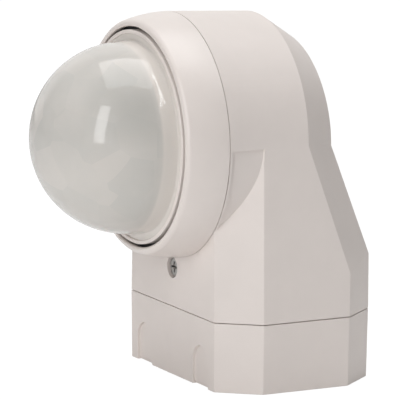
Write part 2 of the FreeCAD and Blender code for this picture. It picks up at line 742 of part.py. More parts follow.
def microcontroller():
    x0, x1, z0, z1 = CHIP
    radius, x, z, depth = CHIP_DOT
    top = FRONT - CHIP_THICK
    return box(x0, x1, top, FRONT, z0, z1).cut(pin(radius, x, z, top - PAST, top + depth))


def axis_block(half, y0, y1):
    """A block centred on the drum's axis."""
    return box(*span(0, half[0]), y0, y1, *span(AXIS_Z, half[1]))


def board_connector():
    shell = axis_block(CONNECTOR_HALF, FRONT - CONNECTOR_TALL, FRONT)
    return shell.cut(axis_block(PLUG_HALF, FRONT - CONNECTOR_TALL - PAST, FRONT - PLUG_SEAT))


def sensor_plug():
    body = axis_block(PLUG_HALF, FRONT - PLUG_TALL, FRONT - PLUG_SEAT)
    return body.makeChamfer(PLUG_BEVEL, edges_at_y(body, FRONT - PLUG_TALL))


def ribbon_header():
    return box(*span(0, HEADER_HALF), FRONT - HEADER_TALL, FRONT, *HEADER_Z)


def settings_ribbon():
    return box(*span(0, RIBBON_HALF), SETTINGS_Y[1], FRONT - HEADER_TALL, *RIBBON_Z)


def settings_board():
    return box(*span(0, SETTINGS_HALF), *SETTINGS_Y, SETTINGS_Z, SETTINGS_Z + BOARD_THICK)


# ---- front collar, settings and cover ring ------------------------------------------------------
COLLAR_R = 35.2
COLLAR_WALL = 1.8
COLLAR_FRONT_Y = -36.3
COLLAR_FOOT = 1.4       # flange that stands on the body's front
NECK_R = MOUTH_R - 0.2  # neck inside the body's mouth
NECK_WALL = 1.4
NECK_END_Y = DRUM_FRONT_Y + 3.4
SLEEVE_R = 20.0
SLEEVE_WALL = 2.0
SLEEVE_BACK_Y = -26.5
STOP_R = (26.0, 28.0)
TURN_RANGE = 60.0
LUG_HALF = 3.0          # degrees
LUG_REACH = 0.7         # how far the lug stands into its slot
LUG_CLEAR = 0.8         # degrees left at either end of the travel
HOOK_ANGLES = (45, 135, 225, 315)
HOOK_HALF = 8.0         # degrees
HOOK_REACH = 1.1        # past the neck, behind the body's wall
HOOK_GAP = 0.1
RELIEF_HALF = 28.0      # degrees of neck cut away between two hooks
RELIEF_START = 0.6
RELIEF_R = 30.0
SEAL_R = 34.1
SEAL_HALF = 0.6
SEAL_THICK = 0.8
DIAL_X = (-8.0, 0.0, 8.0)
DIAL_Y = -31.2
DIAL_R = 2.7
DIAL_TOP = AXIS_Z + 33.5
DIAL_LOW = AXIS_Z + 30.4
DIAL_SHAFT_R = 1.2
DIAL_SHAFT = 2.2        # how far the shaft reaches into its potentiometer
DIAL_BORE = 2.6
DIAL_SLOT = (1.9, 0.4, 1.0)     # half length, half width, depth
DIAL_NOTCH = (0.3, 0.6)         # half width, depth
SHELF_HALF = 13.0       # thick part of the wall round the dials
SHELF_Y = (-35.6, -28.6)
SHELF_Z = (AXIS_Z + 31.2, AXIS_Z + 34.4)
WELL_HALF = 11.0        # flat-bottomed well in that part
WELL_Y = (-34.6, -28.6)
WELL_Z = AXIS_Z + 33.0
BRACKET_X = 10.0        # ribs under the settings board
BRACKET_HALF = 0.8
BRACKET_Y = (-35.0, -29.0)
BRACKET_LOW = AXIS_Z + 18.0
POT_TOP = AXIS_Z + 29.0
POT_HALF = 3.0
RING_RIB_ANGLES = (30, 90, 150, 210, 270, 330)
RING_RIB_HALF = 2.0     # degrees
RING_RIB_FRONT_Y = -36.0
RING_NOTCH_R = SCREW_RECESS_R + 0.9


def collar_shell():
    """Front plate with a bearing sleeve, an outer wall, and a neck that plugs into the body."""
    inner = COLLAR_R - COLLAR_WALL
    plate = COLLAR_FRONT_Y + COLLAR_WALL
    foot = DRUM_FRONT_Y - COLLAR_FOOT
    sleeve = SLEEVE_R + FIT
    return turned([
        (sleeve, COLLAR_FRONT_Y), (COLLAR_R, COLLAR_FRONT_Y), (COLLAR_R, DRUM_FRONT_Y),
        (NECK_R, DRUM_FRONT_Y), (NECK_R, NECK_END_Y), (NECK_R - NECK_WALL, NECK_END_Y),
        (NECK_R - NECK_WALL, foot), (inner, foot), (inner, plate),
        (sleeve + SLEEVE_WALL, plate), (sleeve + SLEEVE_WALL, SLEEVE_BACK_Y), (sleeve, SLEEVE_BACK_Y),
    ])


def collar_hooks():
    """Snap hooks behind the body's front wall, and the reliefs between them that let them bend."""
    nose = tube(NECK_R - NECK_WALL, NECK_R + HOOK_REACH, DRUM_FRONT_Y + WALL + HOOK_GAP, NECK_END_Y)
    start = DRUM_FRONT_Y + RELIEF_START
    end = NECK_END_Y + PAST
    core = disc(RELIEF_R, start - PAST, end + PAST)
    hooks = [nose.common(sector(a, HOOK_HALF, start, end)) for a in HOOK_ANGLES]
    reliefs = [sector(a + 45, RELIEF_HALF, start, end).cut(core) for a in HOOK_ANGLES]
    return hooks, reliefs


def seal_ring():
    return tube(SEAL_R - SEAL_HALF, SEAL_R + SEAL_HALF, DRUM_FRONT_Y - SEAL_THICK, DRUM_FRONT_Y)


def front_collar():
    """Fixed carrier of the lens unit and of the settings."""
    depth = (COLLAR_FRONT_Y - PAST, DRUM_FRONT_Y + PAST)
    hooks, reliefs = collar_hooks()
    shelf = box(*span(0, SHELF_HALF), *SHELF_Y, *SHELF_Z).common(disc(COLLAR_R, *depth))
    core = disc(SLEEVE_R + FIT + SLEEVE_WALL / 2, *depth)
    brackets = [box(*span(side * BRACKET_X, BRACKET_HALF), *BRACKET_Y, BRACKET_LOW, SETTINGS_Z).cut(core)
                for side in SIDES]
    solid = join([collar_shell(), shelf] + brackets + hooks)
    well_top = AXIS_Z + COLLAR_R + PAST
    holes = reliefs + [box(*span(0, WELL_HALF), *WELL_Y, WELL_Z, well_top)]
    holes += [post(DIAL_R + LOOSE, x, DIAL_Y, SETTINGS_Z, well_top) for x in DIAL_X]
    slot_end = COLLAR_FRONT_Y + COLLAR_WALL + PAST
    slot = tube(STOP_R[0] - LOOSE, STOP_R[1] + LOOSE, COLLAR_FRONT_Y - PAST, slot_end)
    holes.append(slot.common(sector(270, TURN_RANGE + LUG_HALF + LUG_CLEAR, *depth)))
    holes.append(seal_ring())
    return cut(solid, holes)


def potentiometers():
    pots = []
    for x in DIAL_X:
        pot = box(*span(x, POT_HALF), *span(DIAL_Y, POT_HALF), SETTINGS_Z + BOARD_THICK, POT_TOP)
        pots.append(pot.cut(post(DIAL_SHAFT_R + FIT, x, DIAL_Y, POT_TOP - DIAL_BORE, POT_TOP + PAST)))
    return Part.makeCompound(pots)


def dial(x):
    """A small dial with a screwdriver slot and a pointer notch."""
    head = post(DIAL_R, x, DIAL_Y, DIAL_LOW, DIAL_TOP)
    shaft = post(DIAL_SHAFT_R, x, DIAL_Y, POT_TOP - DIAL_SHAFT, DIAL_LOW + EPS)
    length, width, depth = DIAL_SLOT
    slot = box(*span(x, width), *span(DIAL_Y, length), DIAL_TOP - depth, DIAL_TOP + PAST)
    width, depth = DIAL_NOTCH
    edge = DIAL_Y - DIAL_R
    notch = box(*span(x, width), edge - PAST, edge + depth, DIAL_LOW - PAST, DIAL_TOP + PAST)
    return cut(join([head, shaft]), [slot, notch])


def cover_ring():
    """The ring that pulls off forwards. Its mouth is rounded."""
    section = [vec(r, y, AXIS_Z) for r, y in RING_SECTION]
    back = RING_SECTION[0][1]
    inside = [section[-1]] + [vec(r, y, AXIS_Z) for r, y in RING_THROAT]
    inside += [vec(RING_THROAT[-1][0], back, AXIS_Z), section[0]]
    edges = [Part.Arc(*section[start:start + 3]).toShape() for start in (0, 2, 4)]
    edges += [Part.makeLine(a, b) for a, b in zip(inside, inside[1:])]
    rib = tube(COLLAR_R + FIT, COLLAR_R + LOOSE + EDGE_R, RING_RIB_FRONT_Y, back - PAST)
    ends = (RING_RIB_FRONT_Y - PAST, back)
    ribs = [rib.common(sector(a, RING_RIB_HALF, *ends)) for a in RING_RIB_ANGLES]
    notch = screw_line(RING_NOTCH_R, RING_RIB_FRONT_Y - PAST, DRUM_FRONT_Y)
    return join([revolved(Part.Wire(edges))] + ribs).cut(notch)


# ---- lens unit ----------------------------------------------------------------------------------
HOLDER_FRONT_Y = -38.8
HOLDER_BACK_Y = -36.8
HOLDER_R = 33.0
HOLDER_STEP = 1.0       # rebate that the retainer is pushed onto
RETAINER_WALL = 0.6
RETAINER_LIP = 1.2      # how far the retainer reaches in over the lens's rim
RETAINER_THICK = 0.5
RETAINER_BEVEL = 0.2
BARREL_BACK_Y = -24.0
BARREL_WALL = 2.0
CLIP_Y = (-26.2, -25.2)
CLIP_PLAY = 0.02
CLIP_DEPTH = 0.9
CLIP_REACH = 1.8
CLIP_OPENING = 20.0     # degrees, to either side of straight down
SENSOR_BOARD_R = 27.0
SENSOR_BOARD_Y = (-41.2, -39.6)
STANDOFF_AT = 22.5
STANDOFF_R = 2.2
STANDOFF_ANGLES = (90, 210, 330)
STANDOFF_HOLE_END_Y = -37.2
SENSOR_SCREW = (1.9, 1.3, 0.9, 3.9)
LENS_SEAL_R = 31.0
LENS_SEAL_HALF = 0.5
LENS_SEAL_THICK = 0.8
CARRIER = (17.0, 12.0, 9.5)     # radius at the board, radius in front, height
SENSOR_TILT = 42.0
SENSOR_SPREAD = 9.5
SENSOR_Y = -45.6
SENSOR_ANGLES = (30, 150, 270)
FLANGE = (4.5, 0.5)             # radius, thickness
SENSOR_CAN = (4.05, 3.4)        # radius, height over the seat
SENSOR_WINDOW = (4.0, 3.0, 0.35)
SENSOR_WINDOW_LOW = 3.0         # its underside, over the seat
INDICATOR_AT = 21.5
LED_R = 1.5
LED_TALL = 2.4
LIGHT_SENSOR_HALF = 1.6
LIGHT_SENSOR_TALL = 1.4


def lens_holder():
    """Flange and barrel that turn in the collar, with a stop lug behind and standoffs in front."""
    step_r = HOLDER_R - RETAINER_WALL
    step_y = HOLDER_FRONT_Y + HOLDER_STEP
    solid = turned([
        (SLEEVE_R - BARREL_WALL, HOLDER_FRONT_Y), (step_r, HOLDER_FRONT_Y), (step_r, step_y),
        (HOLDER_R, step_y), (HOLDER_R, HOLDER_BACK_Y), (SLEEVE_R, HOLDER_BACK_Y),
        (SLEEVE_R, BARREL_BACK_Y), (SLEEVE_R - BARREL_WALL, BARREL_BACK_Y),
    ])
    lug_end = COLLAR_FRONT_Y + LUG_REACH
    lug = tube(*STOP_R, HOLDER_BACK_Y - EPS, lug_end)
    pieces = [solid, lug.common(sector(270, LUG_HALF, HOLDER_BACK_Y - PAST, lug_end + PAST))]
    holes = [tube(SLEEVE_R - CLIP_DEPTH, SLEEVE_R + PAST, *CLIP_Y), lens_seal()]
    for degrees in STANDOFF_ANGLES:
        at = around(STANDOFF_AT, degrees, 0)
        pieces.append(pin(STANDOFF_R, at.x, at.z, SENSOR_BOARD_Y[1], HOLDER_FRONT_Y + EPS))
        holes.append(pin(SENSOR_SCREW[2], at.x, at.z, SENSOR_BOARD_Y[1] - PAST, STANDOFF_HOLE_END_Y))
    return cut(join(pieces), holes)


def lens_seal():
    return tube(LENS_SEAL_R - LENS_SEAL_HALF, LENS_SEAL_R + LENS_SEAL_HALF, HOLDER_FRONT_Y,
                HOLDER_FRONT_Y + LENS_SEAL_THICK)


def dome_point(radius, degrees):
    """A point on the lens's section: 0 degrees is its edge, 90 degrees its tip."""
    angle = math.radians(degrees)
    return vec(radius * math.cos(angle), LENS_CENTRE_Y - radius * math.sin(angle), AXIS_Z)


def dome_arc(radius, first, last):
    ends = (dome_point(radius, first), dome_point(radius, last))
    return Part.Arc(ends[0], dome_point(radius, (first + last) / 2), ends[1]).toShape()


def lens_dome():
    """Half a ball on a short skirt, with a flat rim that the retainer holds down."""
    inner_r = LENS_R - LENS_WALL
    rim_front = HOLDER_FRONT_Y - LENS_RIM_THICK
    edges = [
        dome_arc(LENS_R, 0, 90),
        Part.makeLine(dome_point(LENS_R, 90), dome_point(inner_r, 90)),
        dome_arc(inner_r, 90, 0),
    ]
    rim = [
        dome_point(inner_r, 0), vec(inner_r, HOLDER_FRONT_Y, AXIS_Z), vec(LENS_RIM_R, HOLDER_FRONT_Y, AXIS_Z),
        vec(LENS_RIM_R, rim_front, AXIS_Z), vec(LENS_R, rim_front, AXIS_Z), dome_point(LENS_R, 0),
    ]
    edges += [Part.makeLine(a, b) for a, b in zip(rim, rim[1:])]
    return revolved(Part.Wire(edges))


def lens_retainer():
    """A thin ring pushed over the holder's rebate and the lens's rim."""
    step_r = HOLDER_R - RETAINER_WALL
    step_y = HOLDER_FRONT_Y + HOLDER_STEP
    rim_front = HOLDER_FRONT_Y - LENS_RIM_THICK
    lip = rim_front - RETAINER_THICK
    inner = HOLDER_R - RETAINER_LIP
    return turned([
        (inner, rim_front), (inner, lip + RETAINER_BEVEL), (inner + RETAINER_BEVEL, lip),
        (HOLDER_R - RETAINER_BEVEL, lip), (HOLDER_R, lip + RETAINER_BEVEL), (HOLDER_R, step_y),
        (step_r, step_y), (step_r, rim_front),
    ])


def retaining_clip():
    """Open spring ring in the barrel's groove, behind the bearing sleeve."""
    inner = SLEEVE_R - CLIP_DEPTH + CLIP_PLAY
    ring = tube(inner, SLEEVE_R + CLIP_REACH, CLIP_Y[0] + CLIP_PLAY, CLIP_Y[1] - CLIP_PLAY)
    return ring.cut(sector(270, CLIP_OPENING, CLIP_Y[0] - PAST, CLIP_Y[1] + PAST))


def sensor_board():
    board = disc(SENSOR_BOARD_R, *SENSOR_BOARD_Y)
    points = [around(STANDOFF_AT, degrees, 0) for degrees in STANDOFF_ANGLES]
    ends = (SENSOR_BOARD_Y[0] - PAST, SENSOR_BOARD_Y[1] + PAST)
    return cut(board, [pin(SENSOR_SCREW[2] + CLEAR_HOLE, at.x, at.z, *ends) for at in points])


def sensor_board_screws():
    seats = [around(STANDOFF_AT, degrees, SENSOR_BOARD_Y[0]) for degrees in STANDOFF_ANGLES]
    return Part.makeCompound([slotted_screw(seat, vec(0, -1, 0), *SENSOR_SCREW) for seat in seats])


def sensor_seat(degrees):
    """Centre and outward direction of one infrared sensor's seat."""
    tilt = math.radians(SENSOR_TILT)
    out = around(math.sin(tilt), degrees, 0) - around(0, 0, 0)
    return around(SENSOR_SPREAD, degrees, SENSOR_Y), vec(out.x, -math.cos(tilt), out.z)


def sensor_carrier():
    """A blunt three-sided pyramid that tilts the infrared sensors outwards."""
    solid = Part.makeCone(*CARRIER, vec(0, SENSOR_BOARD_Y[0], AXIS_Z), vec(0, -1, 0))
    for degrees in SENSOR_ANGLES:
        solid = clip(solid, *sensor_seat(degrees))
    return solid


def window_pane(degrees):
    """The filter in the top of one sensor can."""
    centre, normal = sensor_seat(degrees)
    length, width, thick = SENSOR_WINDOW
    pane = Part.makeBox(length, width, thick, vec(-length / 2, -width / 2, 0))
    turn = FreeCAD.Rotation(vec(0, 0, 1), normal)
    pane.Placement = FreeCAD.Placement(centre + normal * SENSOR_WINDOW_LOW, turn)
    return pane


def infrared_sensors():
    """Metal cans with a flange, one on each seat, each open over its filter."""
    cans = []
    for degrees in SENSOR_ANGLES:
        centre, normal = sensor_seat(degrees)
        flange = rod(FLANGE[0], centre, centre + normal * FLANGE[1])
        can = rod(SENSOR_CAN[0], centre + normal * EPS, centre + normal * SENSOR_CAN[1])
        pane = window_pane(degrees)
        opening = pane.copy()
        opening.translate(normal * (SENSOR_CAN[1] - SENSOR_WINDOW_LOW - EPS))
        cans.append(cut(join([flange, can]), [pane, opening]))
    return Part.makeCompound(cans)


def sensor_windows():
    return Part.makeCompound([window_pane(degrees) for degrees in SENSOR_ANGLES])


def status_led():
    at = around(INDICATOR_AT, STANDOFF_ANGLES[0] + 60, SENSOR_BOARD_Y[0])
    tip = at - vec(0, LED_TALL, 0)
    return join([rod(LED_R, at, tip), Part.makeSphere(LED_R, tip)])


def light_sensor():
    at = around(INDICATOR_AT, STANDOFF_ANGLES[0] - 60, SENSOR_BOARD_Y[0])
    return box(*span(at.x, LIGHT_SENSOR_HALF), at.y - LIGHT_SENSOR_TALL, at.y, *span(at.z, LIGHT_SENSOR_HALF))


def sensor_cable():
    """Round lead along the axis, so that it only twists when the lens unit turns."""
    return disc(CABLE_R, SENSOR_BOARD_Y[1], FRONT - PLUG_TALL - LOOSE)


# ---- every piece, by the name of its node -------------------------------------------------------
NODES = {
    "base_box": base_box,
    "base_seal": base_seal,
    "cable_grommet": cable_grommet,
    "terminal_block": terminal_block,
    "terminal_clamps": terminal_clamps,
    "terminal_screws": terminal_screws,
    "contact_sockets": contact_sockets,
    "screw_insert": screw_insert,
    "locking_screw": locking_screw,
    "screw_o_ring": screw_o_ring,
    "body_shell": body_shell,
    "body_floor": body_floor,
    "floor_screws": floor_screws,
    "main_board": main_board,
    "board_screws": board_screws,
    "contact_blades": contact_blades,
    "relay": relay,
    "film_capacitor": film_capacitor,
    "electrolytic_capacitor": electrolytic_capacitor,
    "varistor": varistor,
    "fuse": fuse,
    "choke_coil": choke_coil,
    "microcontroller": microcontroller,
    "board_connector": board_connector,
    "sensor_plug": sensor_plug,
    "ribbon_header": ribbon_header,
    "settings_ribbon": settings_ribbon,
    "front_collar": front_collar,
    "collar_seal": seal_ring,
    "settings_board": settings_board,
    "potentiometers": potentiometers,
    "cover_ring": cover_ring,
    "time_dial": lambda: dial(DIAL_X[0]),
    "brightness_dial": lambda: dial(DIAL_X[1]),
    "range_dial": lambda: dial(DIAL_X[2]),
    "lens_holder": lens_holder,
    "lens_seal": lens_seal,
    "lens_dome": lens_dome,
    "lens_retainer": lens_retainer,
    "retaining_clip": retaining_clip,
    "sensor_board": sensor_board,
    "sensor_board_screws": sensor_board_screws,
    "sensor_carrier": sensor_carrier,
    "infrared_sensors": infrared_sensors,
    "sensor_windows": sensor_windows,
    "status_led": status_led,
    "light_sensor": light_sensor,
    "sensor_cable": sensor_cable,
}


def main():
    os.makedirs("parts", exist_ok=True)
    for name, make in NODES.items():
        shape = make()
        shape.exportStep("parts/" + name + ".step")
        volume = sum(solid.Volume for solid in shape.Solids)
        print(name, len(shape.Solids), "solids, valid", shape.isValid(), "volume", round(volume, 1))


main()
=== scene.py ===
import bpy
import bmesh
import json
import math
from mathutils import Matrix, Vector


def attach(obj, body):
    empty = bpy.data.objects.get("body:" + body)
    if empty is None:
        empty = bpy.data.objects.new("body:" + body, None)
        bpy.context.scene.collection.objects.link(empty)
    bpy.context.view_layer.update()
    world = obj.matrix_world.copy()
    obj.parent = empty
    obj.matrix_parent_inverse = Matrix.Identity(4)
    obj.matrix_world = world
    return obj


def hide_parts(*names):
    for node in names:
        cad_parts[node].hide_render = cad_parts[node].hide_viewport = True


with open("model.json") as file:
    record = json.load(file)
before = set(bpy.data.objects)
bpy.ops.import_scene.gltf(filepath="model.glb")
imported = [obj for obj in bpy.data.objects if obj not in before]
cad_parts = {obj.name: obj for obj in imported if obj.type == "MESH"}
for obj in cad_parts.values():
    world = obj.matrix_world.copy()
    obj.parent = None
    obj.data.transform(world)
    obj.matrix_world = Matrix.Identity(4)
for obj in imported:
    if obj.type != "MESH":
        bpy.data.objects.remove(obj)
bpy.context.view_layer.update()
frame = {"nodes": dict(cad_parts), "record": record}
NODES = frame["nodes"]

MM = 0.001
AXIS_Z = 75.8 * MM              # the drum's axis
LENS_CENTRE_Y = -43.5 * MM      # centre of the ball lens
LENS_CENTRE = (0, LENS_CENTRE_Y, AXIS_Z)
LENS_R = 29.5 * MM
LENS_WALL = 0.9 * MM


# ---- camera -------------------------------------------------------------------------------------
TARGET = Vector((0.0, 0.0, 0.055))
AZIMUTH = math.radians(61.79)
ELEVATION = math.radians(10.11)
ROLL = math.radians(0.63)
DISTANCE = 1.2
FOCAL = 345.66                  # mm on a 36 mm wide sensor
AIM_RIGHT = 49.7 / 3840.68      # where the target sits in the frame, as a share of the focal length
AIM_UP = 5.95 / 3840.68


def add_camera():
    back = Vector((math.sin(AZIMUTH) * math.cos(ELEVATION), -math.cos(AZIMUTH) * math.cos(ELEVATION),
                   math.sin(ELEVATION)))
    right = Vector((math.cos(AZIMUTH), math.sin(AZIMUTH), 0.0))
    up = back.cross(right)
    x = math.cos(ROLL) * right + math.sin(ROLL) * up
    y = -math.sin(ROLL) * right + math.cos(ROLL) * up
    # the lens axis is turned a little, so that the object sits right of the middle
    forward = (-back - AIM_RIGHT * x - AIM_UP * y).normalized()
    z = -forward
    x = (x - x.dot(z) * z).normalized()
    y = z.cross(x)
    data = bpy.data.cameras.new("camera")
    data.lens = FOCAL
    data.sensor_width = 36.0
    data.clip_start = 0.05
    camera = bpy.data.objects.new("camera", data)
    turn = Matrix((x, y, z)).transposed().to_4x4()
    camera.matrix_world = Matrix.Translation(TARGET + back * DISTANCE) @ turn
    bpy.context.scene.collection.objects.link(camera)
    bpy.context.scene.camera = camera


# ---- light --------------------------------------------------------------------------------------
ROOM_LIGHT = 0.08
BACKDROP_LIGHT = 0.93
BACKDROP_EDGE = (0.55, 0.75)    # cosines between which the backdrop begins
FLOOR_GLOW = 0.9                # share of plain white in what the camera sees of the table
FLOOR_GLOW_STRENGTH = 1.1
FLOOR_COLOUR = (0.93, 0.93, 0.93, 1)
FLOOR_ROUGHNESS = 0.9
FLOOR_HALF = 4.0
FLOOR_DROP = 0.05 * MM          # how far the table lies below the object


def area_light(name, position, target, size, power):
    data = bpy.data.lights.new(name, "AREA")
    data.shape = "RECTANGLE"
    data.size = size[0]
    data.size_y = size[1]
    data.energy = power
    light = bpy.data.objects.new(name, data)
    light.location = position
    direction = Vector(target) - Vector(position)
    light.rotation_euler = direction.to_track_quat("-Z", "Y").to_euler()
    bpy.context.scene.collection.objects.link(light)
    return light


def strip_light(name, start, end, width, power):
    """A narrow light from start to end that faces the ball lens."""
    first, last = Vector(start), Vector(end)
    centre = (first + last) / 2
    light = area_light(name, centre, LENS_CENTRE, ((last - first).length, width), power)
    along = (last - first).normalized()
    away = centre - Vector(LENS_CENTRE)
    away = (away - away.project(along)).normalized()
    light.rotation_euler = Matrix((along, away.cross(along), away)).transposed().to_euler()


def add_world():
    """A dim room with a white backdrop behind the object; the camera sees plain white all round."""
    world = bpy.data.worlds.new("world")
    bpy.context.scene.world = world
    world.use_nodes = True
    tree = world.node_tree
    tree.nodes.clear()
    out = tree.nodes.new("ShaderNodeOutputWorld")
    mix = tree.nodes.new("ShaderNodeMixShader")
    seen = tree.nodes.new("ShaderNodeBackground")
    room = tree.nodes.new("ShaderNodeBackground")
    path = tree.nodes.new("ShaderNodeLightPath")
    place = tree.nodes.new("ShaderNodeTexCoord")
    towards = tree.nodes.new("ShaderNodeVectorMath")
    towards.operation = "DOT_PRODUCT"
    towards.inputs[1].default_value = (-math.sin(AZIMUTH), math.cos(AZIMUTH), 0.0)
    spread = tree.nodes.new("ShaderNodeMapRange")
    spread.inputs["From Min"].default_value = BACKDROP_EDGE[0]
    spread.inputs["From Max"].default_value = BACKDROP_EDGE[1]
    spread.inputs["To Min"].default_value = ROOM_LIGHT
    spread.inputs["To Max"].default_value = BACKDROP_LIGHT
    seen.inputs["Color"].default_value = (1, 1, 1, 1)
    seen.inputs["Strength"].default_value = 1.0
    room.inputs["Color"].default_value = (1.0, 0.985, 0.97, 1)
    tree.links.new(place.outputs["Generated"], towards.inputs[0])
    tree.links.new(towards.outputs["Value"], spread.inputs["Value"])
    tree.links.new(spread.outputs["Result"], room.inputs["Strength"])
    tree.links.new(path.outputs["Is Camera Ray"], mix.inputs["Fac"])
    tree.links.new(room.outputs[0], mix.inputs[1])
    tree.links.new(seen.outputs[0], mix.inputs[2])
    tree.links.new(mix.outputs[0], out.inputs["Surface"])


def around_lens(azimuth, elevation, distance):
    """A place at that direction from the ball lens: azimuth 0 is in front, 90 is towards +X."""
    turn, rise = math.radians(azimuth), math.radians(elevation)
    reach = distance * math.cos(rise)
    across, ahead = reach * math.sin(turn), reach * math.cos(turn)
    return (across, LENS_CENTRE_Y - ahead, AXIS_Z + distance * math.sin(rise))


# a large softbox above, turned a little about Z
OVERHEAD_AT = (-0.07, 0.05, 1.075)
OVERHEAD_TURN = math.radians(66)
OVERHEAD = ((0.85, 0.85), 7.35)                 # size in metres, power in watts
# a tall strip at the front right, which draws the upright bar on the lens
FRONT_STRIP_AT = (0.6, -0.96, 0.56)
FRONT_STRIP_AIM = (0, LENS_CENTRE_Y, 0.2)
FRONT_STRIP = ((0.27, 0.95), 5.8)
# a broad panel in front, and a narrow strip high on the right
FRONT_PANEL_FROM = (35, 15, 2.2)                # azimuth, elevation, distance
FRONT_PANEL = ((1.6, 1.6), 6.2)
HIGH_STRIP_ENDS = ((172, 65, 1.2), (120, 40, 1.2))
HIGH_STRIP_WIDTH = 0.05
HIGH_STRIP_POWER = 1.25


def add_lights():
    overhead = area_light("overhead_softbox", OVERHEAD_AT, (0, 0, 0), *OVERHEAD)
    overhead.rotation_euler = (0, 0, OVERHEAD_TURN)
    area_light("front_strip", FRONT_STRIP_AT, FRONT_STRIP_AIM, *FRONT_STRIP)
    area_light("front_panel", around_lens(*FRONT_PANEL_FROM), LENS_CENTRE, *FRONT_PANEL)
    first, last = (around_lens(*end) for end in HIGH_STRIP_ENDS)
    strip_light("high_strip", first, last, HIGH_STRIP_WIDTH, HIGH_STRIP_POWER)


def add_floor():
    """A white table, lit so evenly that it shows only a trace of shadow."""
    bm = bmesh.new()
    bmesh.ops.create_grid(bm, x_segments=8, y_segments=8, size=FLOOR_HALF)
    mesh = bpy.data.meshes.new("floor")
    bm.to_mesh(mesh)
    bm.free()
    floor = bpy.data.objects.new("floor", mesh)
    floor.location = (0, 0, -FLOOR_DROP)
    bpy.context.scene.collection.objects.link(floor)
    material = bpy.data.materials.new("floor_white")
    material.use_nodes = True
    tree = material.node_tree
    shader = tree.nodes["Principled BSDF"]
    shader.inputs["Base Color"].default_value = FLOOR_COLOUR
    shader.inputs["Roughness"].default_value = FLOOR_ROUGHNESS
    glow = tree.nodes.new("ShaderNodeEmission")
    glow.inputs["Strength"].default_value = FLOOR_GLOW_STRENGTH
    mix = tree.nodes.new("ShaderNodeMixShader")
    path = tree.nodes.new("ShaderNodeLightPath")
    share = tree.nodes.new("ShaderNodeMath")
    share.operation = "MULTIPLY"
    share.inputs[1].default_value = FLOOR_GLOW
    tree.links.new(path.outputs["Is Camera Ray"], share.inputs[0])
    tree.links.new(share.outputs[0], mix.inputs["Fac"])
    tree.links.new(shader.outputs[0], mix.inputs[1])
    tree.links.new(glow.outputs[0], mix.inputs[2])
    tree.links.new(mix.outputs[0], tree.nodes["Material Output"].inputs["Surface"])
    mesh.materials.append(material)


